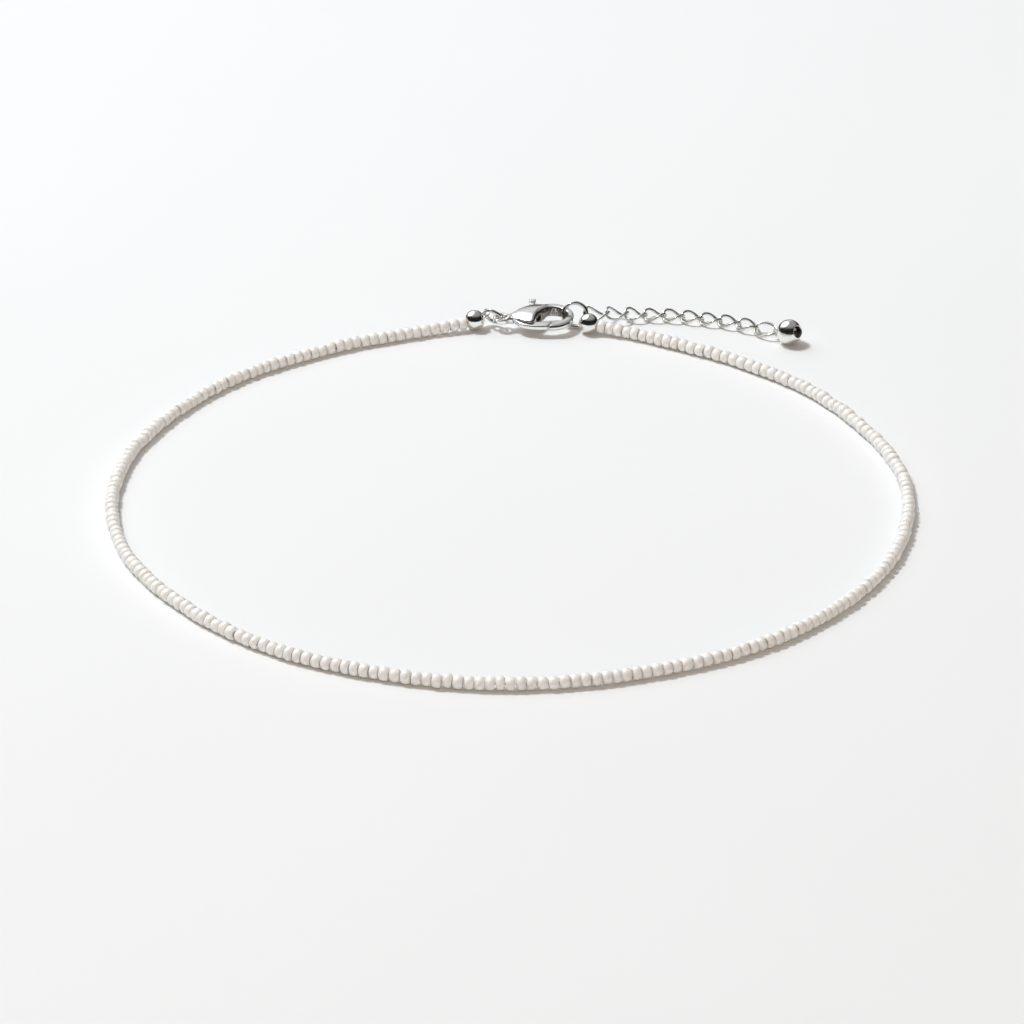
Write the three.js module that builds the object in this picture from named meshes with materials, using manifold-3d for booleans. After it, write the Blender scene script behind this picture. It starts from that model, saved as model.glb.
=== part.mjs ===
// A beaded anklet, fastened and lying on a table: one strand of white seed beads, a ball tip at
// each end of it, a lever clasp between two jump rings, and a short chain with a ball at its end.
// Millimetres, +Z up, +Y from the front of the loop to the clasp. The table is z = 0.
import * as THREE from 'three';
import { mergeVertices } from 'three/addons/utils/BufferGeometryUtils.js';
import Module from 'manifold-3d';

const wasm = await Module();
wasm.setup();

// Driving dimensions
const BEAD_COUNT = 234;
const BEADS_PER_STRAND = 13;
const BEAD_SIDES = 6;
const BEAD_APOTHEM = 0.7;
const BEAD_WAIST = 0.45;
const BEAD_SHOULDER = 0.25;
const STRAND_GAP = 0.1;
const END_LIFT = 0.3;
const LIFT_LENGTH = 8;

const TIP_BALL_RADIUS = 1.2;
const TIP_LOOP_RADIUS = 0.44;
const TIP_LOOP_WIRE = 0.26;

const SMALL_RING_RADIUS = 1.1;
const SMALL_RING_WIRE = 0.42;
const LARGE_RING_RADIUS = 1.4;
const LARGE_RING_WIRE = 0.42;

const CLASP_HALF_WIDTH = 2.6;
const CLASP_NOSE_CENTRE = 5.9;
const CLASP_BAR_HALF_HEIGHT = 0.4;
const CLASP_EYE_RADIUS = 1.0;
const CLASP_EYE_HOLE = 0.55;
const CLASP_EYE_HALF_HEIGHT = 0.32;
const LEVER_HALF_HEIGHT = 0.3;
const SLOT_HALF_HEIGHT = 0.36;
const PIN_RADIUS = 0.3;
const PIN_HALF_LENGTH = 0.5;
const PIN_CLEARANCE = 0.06;

const CHAIN_RADIUS = 0.65;
const CHAIN_HEIGHT = 0.68;
const END_BALL_RADIUS = 1.5;
const END_BALL_BORE = 0.7;
const END_BALL_BORE_DEPTH = 2.0;
const END_EYE_RADIUS = 0.42;
const END_EYE_WIRE = 0.28;

// Where the fittings lie
const LEFT_TIP = new THREE.Vector3(-4.2, 43.9, TIP_BALL_RADIUS);
const RIGHT_TIP = new THREE.Vector3(9.15, 42.95, TIP_BALL_RADIUS);
const SMALL_RING_CENTRE = new THREE.Vector3(-2.05, 44.38, 1.46);
const SMALL_RING_TILT = -60;
const SMALL_RING_YAW = -30;
const SMALL_RING_HOOK_ANGLE = 180;
const LARGE_RING_CENTRE = new THREE.Vector3(7.56, 44.5, 1.6);
const LARGE_RING_TILT = 72;
const LARGE_RING_YAW = 0;
const LARGE_RING_HOOK_ANGLE = -40;
const CLASP_TAIL = new THREE.Vector3(-1.02, 44.35, 1.45);
const CLASP_YAW = -2.7;
const CLASP_ROLL = 5;
const LEVER_PIVOT = new THREE.Vector2(2.4, -0.95);
const END_BALL = new THREE.Vector3(32.4, 39.9, END_BALL_RADIUS);
const END_BALL_YAW = -40.6;
const END_BALL_RISE = 18.5;

// The strand's route between its tips, clockwise from the right tip, seen from above
const STRAND_ROUTE = [
  { angle: 74, radius: 43.75 },
  { angle: 69, radius: 43.3 },
  { angle: 62, radius: 42.8 },
  { angle: 52, radius: 42.5 },
  { angle: 35, radius: 42.7 },
  { angle: 5, radius: 43.2 },
  { angle: -25, radius: 43.3 },
  { angle: -55, radius: 43.0 },
  { angle: -90, radius: 42.9 },
  { angle: -125, radius: 43.0 },
  { angle: -160, radius: 43.3 },
  { angle: -190, radius: 43.2 },
  { angle: -220, radius: 42.8 },
  { angle: -242, radius: 42.55 },
  { angle: -251, radius: 42.7 },
  { angle: -258, radius: 43.2 },
];

// The extension chain's route, from the large ring down to the table and out to the end ball
const CHAIN_ROUTE = [
  { x: 9.65, y: 44.9, z: 2.0 },
  { x: 11.2, y: 45.55, z: 1.45 },
  { x: 13.5, y: 46.15, z: 0.9 },
  { x: 15.75, y: 46.4, z: CHAIN_HEIGHT },
  { x: 18.05, y: 46.4, z: CHAIN_HEIGHT },
  { x: 20.25, y: 46.05, z: CHAIN_HEIGHT },
  { x: 22.45, y: 45.4, z: CHAIN_HEIGHT },
  { x: 24.6, y: 44.8, z: CHAIN_HEIGHT },
  { x: 26.8, y: 44.0, z: CHAIN_HEIGHT },
  { x: 28.7, y: 42.85, z: 0.7 },
  { x: 30.1, y: 41.85, z: 0.75 },
];
const CHAIN_STEPS = 16;

// The clasp's front and back edges along its length; its neck and tail eye are bent to the front
const CLASP_OUTLINE = [
  { along: 0.7, front: -0.95, back: -0.1 },
  { along: 1.7, front: -1.35, back: 0.75 },
  { along: 2.9, front: -2.0, back: 1.6 },
  { along: 4.3, front: -2.5, back: 2.3 },
];
const CLASP_EYE_ACROSS = -0.55;
const CLASP_MOUTH = { along: 5.85, across: 0.1, halfLength: 1.8, halfWidth: 1.55 };
const CLASP_DOME = { along: 4.2, halfLength: 3.3, halfWidth: 3.2, halfHeight: 0.9 };
const DOME_FRONT_END = { along: 4.0, across: 0.3 };
const THROUGH = 2;

// The gate's end is cut on a slant, so that it swings in past the hook's tip
const SEAM = { outer: { along: 5.45, across: -CLASP_HALF_WIDTH }, inner: { along: 5.95, across: -1.5 } };
const SEAM_GAP = 0.15;

// The lever: its gate along the front, its hub round the pin, and its arm back to the thumb tab
const LEVER_GATE = [
  { along: 1.55, across: -1.3 },
  { along: 2.2, across: -2.05 },
  { along: 3.2, across: -2.5 },
  { along: 4.3, across: -2.65 },
  SEAM.outer,
];
const LEVER_HEEL = { along: 4.2, across: -1.5 };
const LEVER_ARM = { frontAlong: 3.4, frontAcross: -0.4, backAlong: 2.6, backAcross: 0.2 };
const LEVER_TAB = { along: 3.5, across: 3.5, halfWidth: 0.3, length: 1.0 };

// The slot in the body, wide enough for the lever from shut to fully open
const SLOT_TAIL = 1.35;
const SLOT_SEAM_END = -1.3;
const SLOT_MOUTH_CORNER = { along: 4.6, across: 0.5 };
const SLOT_BACK_CORNER = { along: 4.3, across: 2.7 };
const SLOT_OUTSIDE = CLASP_HALF_WIDTH + 0.8;

// Flat sides around each round shape, and from pole to pole of a ball
const SIDES = {
  ball: 18, ballRows: 12, endBall: 20, endBallRows: 14, dome: 24, domeRows: 14,
  ring: 28, ringWire: 8, loop: 18, loopWire: 6, bore: 16, pin: 12,
  outline: 6, lever: 5, eyeQuarter: 10, mouth: 12, chain: 8,
};

const radians = THREE.MathUtils.degToRad;

function silver() {
  return new THREE.MeshStandardMaterial({ color: 0xd8d8d4, roughness: 0.12, metalness: 1 });
}

function whiteGlass() {
  return new THREE.MeshStandardMaterial({ color: 0xf1eee8, roughness: 0.3, metalness: 0 });
}

// Joins and cuts work on closed meshes that hold positions only
function toSolid(geometry) {
  const bare = geometry.clone();
  bare.deleteAttribute('normal');
  bare.deleteAttribute('uv');
  const merged = mergeVertices(bare, 1e-4);
  return new wasm.Manifold(new wasm.Mesh({
    numProp: 3,
    vertProperties: new Float32Array(merged.attributes.position.array),
    triVerts: new Uint32Array(merged.index.array),
  }));
}

function toGeometry(solid) {
  const mesh = solid.getMesh();
  const geometry = new THREE.BufferGeometry();
  geometry.setAttribute('position', new THREE.BufferAttribute(mesh.vertProperties, 3));
  geometry.setIndex(new THREE.BufferAttribute(mesh.triVerts, 1));
  geometry.computeVertexNormals();
  return geometry;
}

function piece(name, geometry, material) {
  const mesh = new THREE.Mesh(geometry, material);
  mesh.name = name;
  return mesh;
}

// A flat plate of an outline, half its height above and below its own middle plane
function plate(shape, halfHeight, curveSegments) {
  const geometry = new THREE.ExtrudeGeometry(shape, {
    depth: 2 * halfHeight, bevelEnabled: false, curveSegments,
  });
  return geometry.translate(0, 0, -halfHeight);
}

function ball(radius, centre) {
  const geometry = new THREE.SphereGeometry(radius, SIDES.ball, SIDES.ballRows).rotateX(Math.PI / 2);
  return geometry.translate(centre.x, centre.y, centre.z);
}

// The strand: the bead profile is turned as a straight rod and bent along the route
function strandCurve() {
  const between = STRAND_ROUTE.map(({ angle, radius }) => new THREE.Vector3(
    radius * Math.cos(radians(angle)),
    radius * Math.sin(radians(angle)),
    BEAD_APOTHEM,
  ));
  const start = RIGHT_TIP.clone().setZ(BEAD_APOTHEM);
  const end = LEFT_TIP.clone().setZ(BEAD_APOTHEM);
  const curve = new THREE.CatmullRomCurve3([start, ...between, end], false, 'centripetal');
  curve.arcLengthDivisions = 2000;
  return curve;
}

function beadProfile(count, pitch) {
  const crest = BEAD_APOTHEM / Math.cos(Math.PI / BEAD_SIDES);
  const length = count * pitch;
  const start = STRAND_GAP / 2;
  const end = length - STRAND_GAP / 2;
  const profile = [new THREE.Vector2(0, start), new THREE.Vector2(BEAD_WAIST, start)];
  for (let bead = 0; bead < count; bead += 1) {
    if (bead > 0) {
      profile.push(new THREE.Vector2(BEAD_WAIST, bead * pitch));
    }
    profile.push(new THREE.Vector2(crest, bead * pitch + BEAD_SHOULDER));
    profile.push(new THREE.Vector2(crest, (bead + 1) * pitch - BEAD_SHOULDER));
  }
  profile.push(new THREE.Vector2(BEAD_WAIST, end), new THREE.Vector2(0, end));
  return profile;
}

// The strand rises from the table to the holes of the tips, which are larger than the beads
function endLift(along, totalLength) {
  const nearest = Math.min(along, totalLength - along);
  const share = Math.max(0, 1 - nearest / LIFT_LENGTH);
  return END_LIFT * share * share;
}

function bendAlong(geometry, curve, startLength, totalLength) {
  const position = geometry.attributes.position;
  const up = new THREE.Vector3(0, 0, 1);
  for (let i = 0; i < position.count; i += 1) {
    const along = startLength + position.getY(i);
    const fraction = along / totalLength;
    const tangent = curve.getTangentAt(fraction);
    const side = tangent.clone().cross(up).normalize();
    const rise = side.clone().cross(tangent);
    const point = curve.getPointAt(fraction);
    point.addScaledVector(side, position.getX(i)).addScaledVector(rise, position.getZ(i));
    point.z += endLift(along, totalLength);
    position.setXYZ(i, point.x, point.y, point.z);
  }
  return geometry;
}

function beadStrands() {
  const curve = strandCurve();
  const totalLength = curve.getLength();
  const firstBead = TIP_BALL_RADIUS + STRAND_GAP / 2;
  const pitch = (totalLength - 2 * firstBead) / BEAD_COUNT;
  const profile = beadProfile(BEADS_PER_STRAND, pitch);
  const strands = [];
  for (let index = 0; index < BEAD_COUNT / BEADS_PER_STRAND; index += 1) {
    const rod = new THREE.LatheGeometry(profile, BEAD_SIDES, Math.PI / BEAD_SIDES);
    const startLength = firstBead + index * BEADS_PER_STRAND * pitch;
    const name = `bead_strand_${String(index + 1).padStart(2, '0')}`;
    strands.push(piece(name, bendAlong(rod, curve, startLength, totalLength), whiteGlass()));
  }
  return strands;
}

// Jump rings, and the small loops that hang on them. A ring lies across its own x axis, which
// yaw turns on the table, and tilt stands it up about that axis.
function placeRing(geometry, { centre, tilt, yaw }) {
  return geometry.rotateX(radians(tilt)).rotateZ(radians(yaw)).translate(centre.x, centre.y, centre.z);
}

const SMALL_RING = {
  radius: SMALL_RING_RADIUS, wire: SMALL_RING_WIRE,
  centre: SMALL_RING_CENTRE, tilt: SMALL_RING_TILT, yaw: SMALL_RING_YAW,
};
const LARGE_RING = {
  radius: LARGE_RING_RADIUS, wire: LARGE_RING_WIRE,
  centre: LARGE_RING_CENTRE, tilt: LARGE_RING_TILT, yaw: LARGE_RING_YAW,
};

function jumpRing(name, ring) {
  const torus = new THREE.TorusGeometry(ring.radius, ring.wire / 2, SIDES.ringWire, SIDES.ring);
  return piece(name, placeRing(torus, ring), silver());
}

function ballTip(name, centre, ring, hookAngle) {
  const loop = new THREE.TorusGeometry(TIP_LOOP_RADIUS, TIP_LOOP_WIRE / 2, SIDES.loopWire, SIDES.loop);
  loop.rotateX(Math.PI / 2).translate(ring.radius, 0, 0).rotateZ(radians(hookAngle));
  const solid = toSolid(ball(TIP_BALL_RADIUS, centre)).add(toSolid(placeRing(loop, ring)));
  return piece(name, toGeometry(solid), silver());
}

// The clasp, in its own frame: x from the tail to the nose, z across its middle plane
const point = ({ along, across }) => new THREE.Vector2(along, across);

function claspShape() {
  const frontEdge = CLASP_OUTLINE.map(({ along, front }) => new THREE.Vector2(along, front));
  const backEdge = CLASP_OUTLINE.map(({ along, back }) => new THREE.Vector2(along, back)).reverse();
  const shape = new THREE.Shape();
  shape.moveTo(frontEdge[0].x, frontEdge[0].y);
  shape.splineThru([...frontEdge.slice(1), new THREE.Vector2(CLASP_NOSE_CENTRE, -CLASP_HALF_WIDTH)]);
  shape.absarc(CLASP_NOSE_CENTRE, 0, CLASP_HALF_WIDTH, -Math.PI / 2, Math.PI / 2, false);
  shape.splineThru(backEdge);
  shape.closePath();
  return shape;
}

function claspMouth() {
  const { along, across, halfLength, halfWidth } = CLASP_MOUTH;
  const shape = new THREE.Shape();
  shape.absellipse(along, across, halfLength, halfWidth, 0, 2 * Math.PI, false, 0);
  return toSolid(plate(shape, THROUGH, SIDES.mouth));
}

// The tail half swells to a dome above and below, which ends short of the gate at the mouth
function claspDome() {
  const { along, halfLength, halfWidth, halfHeight } = CLASP_DOME;
  const lens = new THREE.SphereGeometry(1, SIDES.dome, SIDES.domeRows).rotateX(Math.PI / 2);
  lens.scale(halfLength, halfWidth, halfHeight).translate(along, 0, 0);
  const room = 2 * CLASP_HALF_WIDTH;
  const overGate = new THREE.BoxGeometry(room, room, 2 * THROUGH);
  overGate.translate(DOME_FRONT_END.along + room / 2, DOME_FRONT_END.across - room / 2, 0);
  const outline = toSolid(plate(claspShape(), THROUGH, SIDES.outline));
  return toSolid(lens).intersect(outline).subtract(toSolid(overGate));
}

function claspEye() {
  const shape = new THREE.Shape();
  shape.absarc(0, CLASP_EYE_ACROSS, CLASP_EYE_RADIUS, 0, 2 * Math.PI, false);
  const hole = new THREE.Path();
  hole.absarc(0, CLASP_EYE_ACROSS, CLASP_EYE_HOLE, 0, 2 * Math.PI, true);
  shape.holes.push(hole);
  return toSolid(plate(shape, CLASP_EYE_HALF_HEIGHT, SIDES.eyeQuarter));
}

function leverSlot() {
  const slant = (SEAM.inner.along - SEAM.outer.along) / (SEAM.inner.across - SEAM.outer.across);
  const seamAt = (across) => SEAM.outer.along + SEAM_GAP + slant * (across - SEAM.outer.across);
  const shape = new THREE.Shape([
    new THREE.Vector2(SLOT_TAIL, -SLOT_OUTSIDE),
    new THREE.Vector2(seamAt(-SLOT_OUTSIDE), -SLOT_OUTSIDE),
    new THREE.Vector2(seamAt(SLOT_SEAM_END), SLOT_SEAM_END),
    point(SLOT_MOUTH_CORNER),
    point(SLOT_BACK_CORNER),
    new THREE.Vector2(SLOT_BACK_CORNER.along, SLOT_OUTSIDE),
    new THREE.Vector2(SLOT_TAIL, SLOT_OUTSIDE),
  ]);
  return toSolid(plate(shape, SLOT_HALF_HEIGHT, 1));
}

function pinRod(radius, halfLength) {
  const rod = new THREE.CylinderGeometry(radius, radius, 2 * halfLength, SIDES.pin).rotateX(Math.PI / 2);
  return rod.translate(LEVER_PIVOT.x, LEVER_PIVOT.y, 0);
}

function pinHole() {
  return toSolid(pinRod(PIN_RADIUS + PIN_CLEARANCE, PIN_HALF_LENGTH + PIN_CLEARANCE));
}

function claspBody() {
  const solid = toSolid(plate(claspShape(), CLASP_BAR_HALF_HEIGHT, SIDES.outline))
    .add(claspDome())
    .subtract(claspMouth())
    .subtract(leverSlot())
    .add(claspEye())
    .subtract(pinHole());
  return piece('clasp_body', toGeometry(solid), silver());
}

function claspLever() {
  const tail = LEVER_GATE[0];
  const { frontAlong, frontAcross, backAlong, backAcross } = LEVER_ARM;
  const { along, across, halfWidth, length } = LEVER_TAB;
  const shape = new THREE.Shape();
  shape.moveTo(tail.along, tail.across);
  shape.splineThru(LEVER_GATE.slice(1).map(point));
  shape.lineTo(SEAM.inner.along, SEAM.inner.across);
  shape.lineTo(LEVER_HEEL.along, LEVER_HEEL.across);
  shape.quadraticCurveTo(frontAlong, LEVER_HEEL.across, frontAlong, frontAcross);
  shape.lineTo(along + halfWidth, across - length);
  shape.lineTo(along + halfWidth, across);
  shape.lineTo(along - halfWidth, across);
  shape.lineTo(along - halfWidth, across - length);
  shape.lineTo(backAlong, backAcross);
  shape.quadraticCurveTo(tail.along, backAcross, tail.along, tail.across);
  const solid = toSolid(plate(shape, LEVER_HALF_HEIGHT, SIDES.lever)).subtract(pinHole());
  return piece('clasp_lever', toGeometry(solid), silver());
}

function clasp() {
  const pin = piece('clasp_pin', pinRod(PIN_RADIUS, PIN_HALF_LENGTH), silver());
  const rolled = new THREE.Group();
  rolled.rotation.x = radians(CLASP_ROLL);
  rolled.add(claspBody(), claspLever(), pin);
  const placed = new THREE.Group();
  placed.position.copy(CLASP_TAIL);
  placed.rotation.z = radians(CLASP_YAW);
  placed.add(rolled);
  return placed;
}

// The chain is one round bar along its route; the ball at its end has an upright eye and an open bore,
// and it lies turned so that the bore looks up a little
function extensionChain() {
  const points = CHAIN_ROUTE.map(({ x, y, z }) => new THREE.Vector3(x, y, z));
  const curve = new THREE.CatmullRomCurve3(points);
  const section = new THREE.Shape();
  section.absarc(0, 0, CHAIN_RADIUS, 0, 2 * Math.PI, false);
  const tube = new THREE.ExtrudeGeometry(section, {
    steps: CHAIN_STEPS, extrudePath: curve, curveSegments: SIDES.chain,
  });
  return piece('extension_chain', tube, silver());
}

function endBall() {
  const sphere = new THREE.SphereGeometry(END_BALL_RADIUS, SIDES.endBall, SIDES.endBallRows);
  sphere.rotateX(Math.PI / 2);
  const bore = new THREE.CylinderGeometry(
    END_BALL_BORE, END_BALL_BORE, END_BALL_BORE_DEPTH, SIDES.bore,
  );
  bore.rotateZ(Math.PI / 2).translate(END_BALL_RADIUS, 0, 0);
  const eye = new THREE.TorusGeometry(END_EYE_RADIUS, END_EYE_WIRE / 2, SIDES.loopWire, SIDES.loop);
  eye.rotateX(Math.PI / 2).translate(-END_BALL_RADIUS - END_EYE_RADIUS + END_EYE_WIRE / 4, 0, 0);
  const solid = toSolid(sphere).subtract(toSolid(bore)).add(toSolid(eye));
  const turned = toGeometry(solid).rotateY(-radians(END_BALL_RISE)).rotateZ(radians(END_BALL_YAW));
  const mesh = piece('end_ball', turned, silver());
  mesh.position.copy(END_BALL);
  return mesh;
}

const anklet = new THREE.Group();
anklet.add(...beadStrands());
anklet.add(ballTip('ball_tip_left', LEFT_TIP, SMALL_RING, SMALL_RING_HOOK_ANGLE));
anklet.add(ballTip('ball_tip_right', RIGHT_TIP, LARGE_RING, LARGE_RING_HOOK_ANGLE));
anklet.add(jumpRing('jump_ring_left', SMALL_RING), jumpRing('jump_ring_right', LARGE_RING));
anklet.add(clasp(), extensionChain(), endBall());

// The origin is under the middle of the whole piece, on the table
const bounds = new THREE.Box3().setFromObject(anklet);
const middle = bounds.getCenter(new THREE.Vector3());
anklet.position.set(-middle.x, -middle.y, -bounds.min.z);

export default anklet;
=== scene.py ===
# %% [markdown]
# # A beaded anklet
# One strand of small white glass beads lies in a round loop on a pale table. At its back a silver
# lever clasp closes it, and a short chain with a ball at its end lies to the right.
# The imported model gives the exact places. This lesson lays the fine surfaces over it: round beads
# instead of six-sided ones, linked rings instead of a bar, and a softly cast clasp.

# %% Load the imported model
import math

import bmesh
import bpy
import numpy as np
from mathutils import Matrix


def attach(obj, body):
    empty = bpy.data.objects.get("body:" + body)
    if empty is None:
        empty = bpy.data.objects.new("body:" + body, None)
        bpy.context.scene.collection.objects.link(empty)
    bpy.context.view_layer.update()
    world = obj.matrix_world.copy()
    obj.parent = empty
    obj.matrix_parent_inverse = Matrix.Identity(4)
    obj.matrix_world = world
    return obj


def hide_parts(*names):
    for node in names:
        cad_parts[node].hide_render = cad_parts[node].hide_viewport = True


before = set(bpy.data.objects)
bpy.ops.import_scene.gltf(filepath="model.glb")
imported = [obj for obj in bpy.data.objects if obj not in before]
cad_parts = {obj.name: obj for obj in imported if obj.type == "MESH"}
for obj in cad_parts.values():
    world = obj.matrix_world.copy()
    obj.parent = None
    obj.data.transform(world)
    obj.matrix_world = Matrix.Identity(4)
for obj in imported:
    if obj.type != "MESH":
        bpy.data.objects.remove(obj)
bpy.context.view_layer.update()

import openvdb
from mathutils import Vector

MM = 0.001

# %% [markdown]
# ## The camera
# The loop looks like a flat ellipse, so the camera stands in front of it, 27 degrees above the table.
# A long lens from half a metre away keeps the near and far beads almost the same size. The camera comes
# first because every later choice is judged through it.

# %% Set up the camera
VIEW_ELEVATION = math.radians(27)
VIEW_DISTANCE = 520.2 * MM
VIEW_TARGET = Vector((0.192, -5.258, 0)) * MM
VIEW_LENS = 168.75
SENSOR_WIDTH = 36

camera_data = bpy.data.cameras.new("view")
camera_data.lens = VIEW_LENS
camera_data.sensor_width = SENSOR_WIDTH
camera = bpy.data.objects.new("view", camera_data)
toward_camera = Vector((0, -math.cos(VIEW_ELEVATION), math.sin(VIEW_ELEVATION)))
camera.location = VIEW_TARGET + VIEW_DISTANCE * toward_camera
camera.rotation_euler = (math.pi / 2 - VIEW_ELEVATION, 0, 0)
bpy.context.scene.collection.objects.link(camera)
bpy.context.scene.camera = camera
print("camera at", [round(value, 4) for value in camera.location])

# %% [markdown]
# ## Shader sums as plain Python
# A finish is easier to read as a sum than as a list of links. `Shade` wraps one output of a node, so
# that `0.1 + 0.2 * smudge` adds the Math nodes by itself. `Nodes.node` makes every other kind of node:
# its settings first, then its sockets.

# %% A small class for shader sums
class Shade:
    """One node output that can be added, subtracted and multiplied like a number."""

    def __init__(self, nodes, output):
        self.nodes = nodes
        self.output = output

    def maths(self, operation, first, second):
        return self.nodes.node("ShaderNodeMath", {"operation": operation}, {0: first, 1: second})

    def __add__(self, other):
        return self.maths("ADD", self, other)

    def __radd__(self, other):
        return self.maths("ADD", other, self)

    def __sub__(self, other):
        return self.maths("SUBTRACT", self, other)

    def __rsub__(self, other):
        return self.maths("SUBTRACT", other, self)

    def __mul__(self, other):
        return self.maths("MULTIPLY", self, other)

    def __rmul__(self, other):
        return self.maths("MULTIPLY", other, self)


class Nodes:
    """The node tree of a finish, or of the surroundings."""

    def __init__(self, tree):
        self.tree = tree

    def feed(self, socket, value):
        if isinstance(value, Shade):
            self.tree.links.new(value.output, socket)
        else:
            socket.default_value = value

    def node(self, kind, settings=None, sockets=None, output=0):
        made = self.tree.nodes.new(kind)
        for key, value in (settings or {}).items():
            setattr(made, key, value)
        for key, value in (sockets or {}).items():
            self.feed(made.inputs[key], value)
        return Shade(self, made.outputs[output])

    def place(self):
        """Where on the object a point is, in its own coordinates."""
        return self.node("ShaderNodeTexCoord", output="Object")

    def noise(self, where, size, detail=2.0):
        """Soft random patches between 0 and 1, about as wide as the given size."""
        sockets = {"Vector": where, "Scale": 1 / size, "Detail": detail}
        return self.node("ShaderNodeTexNoise", None, sockets, "Fac")

    def stretch(self, where, turn, scale):
        """The same place, turned and then stretched along its own axes."""
        sockets = {"Vector": where, "Rotation": turn, "Scale": scale}
        return self.node("ShaderNodeMapping", None, sockets)

    def steps(self, value, low, high):
        """0 below the low value, 1 above the high one, and an even rise between them."""
        sockets = {"Value": value, "From Min": low, "From Max": high}
        return self.node("ShaderNodeMapRange", {"clamp": True}, sockets)

    def colours(self, share, first, second):
        """The first colour where the share is 0, the second where it is 1."""
        pair = [colour if isinstance(colour, Shade) else (*colour, 1) for colour in (first, second)]
        return self.node("ShaderNodeMix", {"data_type": "RGBA"}, {0: share, 6: pair[0], 7: pair[1]}, 2)

    def bump(self, height, strength, depth):
        """A surface that looks raised where the height is large."""
        sockets = {"Height": height, "Strength": strength, "Distance": depth}
        return self.node("ShaderNodeBump", None, sockets, "Normal")


def new_finish(name, even):
    """A named material, with the values that are the same all over set on its shader."""
    material = bpy.data.materials.new(name)
    material.use_nodes = True
    shader = material.node_tree.nodes["Principled BSDF"]
    for key, value in even.items():
        shader.inputs[key].default_value = value
    return material, Nodes(material.node_tree), shader


print("shader sums ready")

# %% [markdown]
# ## White glass
# The beads are milky white glass with a soft lustre. No two are quite alike: some are cooler, some a
# little creamier, so each bead carries a number of its own, its tint. Light goes a little way into such
# glass and comes out beside where it went in. The shader calls this subsurface scattering, and a part of
# it is enough to soften the step from the lit to the shaded side. A thin clear coat gives the lustre.

# %% The glass of the beads
BEAD_TINT = "bead_tint"
COOL_WHITE = (0.964, 0.975, 0.948)
CREAM_WHITE = (0.95, 0.953, 0.90)
GLASS_CLOUD = 0.7 * MM
GLASS_GRAIN = 0.12 * MM


def make_white_glass():
    material, nodes, shader = new_finish("white_glass", {
        "Coat Weight": 0.2, "Coat Roughness": 0.3, "Subsurface Weight": 0.4,
        "Subsurface Radius": (1.0, 1.0, 1.0), "Subsurface Scale": 0.9 * MM,
    })
    where = nodes.place()
    tint = nodes.node("ShaderNodeAttribute", {"attribute_name": BEAD_TINT}, None, "Fac")
    cloud = nodes.noise(where, GLASS_CLOUD)
    grain = nodes.noise(where, GLASS_GRAIN, 3.0)
    creamy = 0.75 * tint + 0.25 * cloud
    nodes.feed(shader.inputs["Base Color"], nodes.colours(creamy, COOL_WHITE, CREAM_WHITE))
    nodes.feed(shader.inputs["Roughness"], 0.26 + 0.14 * cloud + 0.06 * tint)
    nodes.feed(shader.inputs["Normal"], nodes.bump(grain, 0.12, 0.01 * MM))
    return material


WHITE_GLASS = make_white_glass()
print("finish:", WHITE_GLASS.name)

# %% [markdown]
# ## Polished silver plate
# The fittings are plated and polished like little mirrors. What shows on them is mostly what stands
# around them, so the finish only breaks the mirror a little: faint smudges that dull it in patches, and
# fine rubbing marks that run one way. Deep in hollows, where little light gets in, each point of a piece
# can carry a number that paints shade in brown onto the silver. There are two silvers: a bright one for
# castings and balls, and a greyer one for drawn wire.

# %% The silver of the fittings
BRIGHT_SILVER = (0.92, 0.915, 0.885)
DULL_SILVER = (0.70, 0.685, 0.64)
GREY_SILVER = (0.74, 0.73, 0.69)
# painted shade: the brown that darkens hollows where little light gets in
PAINTED_SHADE_BROWN = (0.27, 0.235, 0.195)
SHADE_PAINT_ATTRIBUTE = "painted_shade"
SMUDGE = 1.4 * MM
RUB_WIDTH = 0.05 * MM
RUB_TURN = (0.2, 0.5, 0.9)
RUB_STRETCH = (0.06, 1, 1)


def make_silver(name, dullness, tone):
    material, nodes, shader = new_finish(name, {"Metallic": 1.0})
    where = nodes.place()
    smudge = nodes.steps(nodes.noise(where, SMUDGE, 3.0), 0.4, 0.75)
    along = nodes.stretch(where, RUB_TURN, RUB_STRETCH)
    rubbing = nodes.noise(along, RUB_WIDTH)
    worn = dullness * smudge
    # painted shade: a share per point turns the base colour brown, streaked by the rubbing marks
    painted_recess = nodes.node("ShaderNodeAttribute", {"attribute_name": SHADE_PAINT_ATTRIBUTE}, None, "Fac")
    shade_paint = painted_recess * (0.55 + 0.45 * nodes.steps(rubbing, 0.3, 0.7))
    clean = nodes.colours(worn, tone, DULL_SILVER)
    nodes.feed(shader.inputs["Base Color"], nodes.colours(shade_paint, clean, PAINTED_SHADE_BROWN))
    nodes.feed(shader.inputs["Roughness"], 0.11 + 0.12 * worn + 0.06 * rubbing + 0.15 * shade_paint)
    nodes.feed(shader.inputs["Normal"], nodes.bump(rubbing, 0.05, 0.004 * MM))
    return material


SILVER = make_silver("polished_silver", 0.6, BRIGHT_SILVER)
WIRE_SILVER = make_silver("wire_silver", 0.9, GREY_SILVER)
print("finishes:", SILVER.name, WIRE_SILVER.name)

# %% [markdown]
# ## The thread
# The beads are strung on a fine twisted thread. It only shows in the gaps between beads and where the
# strand goes into its tips. Its ply is a slanted stripe, so it needs a UV map that runs along the
# thread in one direction and round it in the other.

# %% The finish of the thread
PLY_TURNS = 2.0
THREAD_LIGHT = (0.94, 0.92, 0.88)
THREAD_SHADE = (0.80, 0.77, 0.72)


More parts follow.
